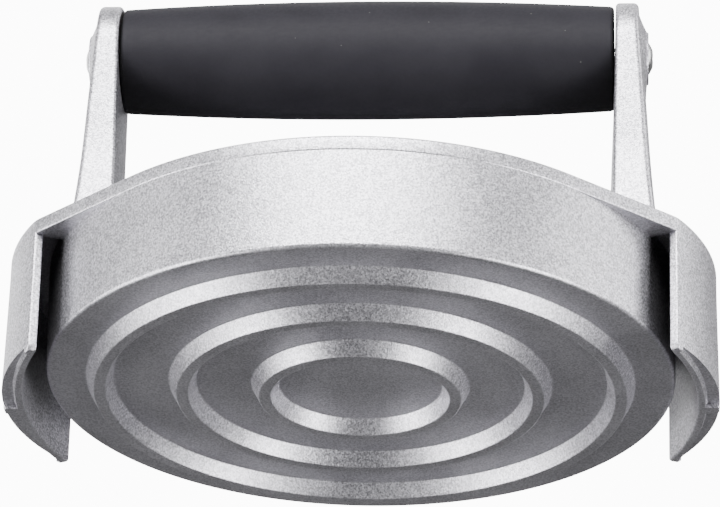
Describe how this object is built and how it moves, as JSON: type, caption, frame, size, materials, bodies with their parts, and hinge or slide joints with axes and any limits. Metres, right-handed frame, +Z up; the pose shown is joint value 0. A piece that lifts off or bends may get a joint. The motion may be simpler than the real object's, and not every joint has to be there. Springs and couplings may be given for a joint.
{
  "type": "patty press",
  "caption": "Cast patty press head: round plate with concentric raised rings, curved guide wings and two arms that carry a free-turning barrel grip.",
  "frame": {"origin": "bottom centre of the part, on the plane of the wing feet, under the centre of the pressing plate", "axes": "+X along the grip, +Y across the grip, +Z up from the feet to the grip"},
  "size_m": [0.1256, 0.111, 0.0799],
  "materials": {
    "cast_aluminium": "fine blasted die casting",
    "rod_steel": "turned",
    "screw_steel": "bright nickel plated",
    "spring_steel": "zinc plated",
    "bearing_plastic": "natural acetal",
    "core_plastic": "glass-filled polypropylene",
    "soft_grip": "satin soft touch"
  },
  "bodies": {
    "root": {"press_body": "cast_aluminium", "tie_rod": "rod_steel", "screw_left": "screw_steel", "screw_right": "screw_steel", "washer_left": "spring_steel", "washer_right": "spring_steel", "spacer_left": "bearing_plastic", "spacer_right": "bearing_plastic"},
    "grip": {"grip_core": "core_plastic", "bush_left": "bearing_plastic", "bush_right": "bearing_plastic", "grip_sleeve": "soft_grip"}
  },
  "joints": [
    {"name": "grip_spin", "type": "hinge", "parent": "root", "child": "grip", "pos_m": [0, 0, 0.0691], "axis": [1, 0, 0], "continuous": true}
  ]
}
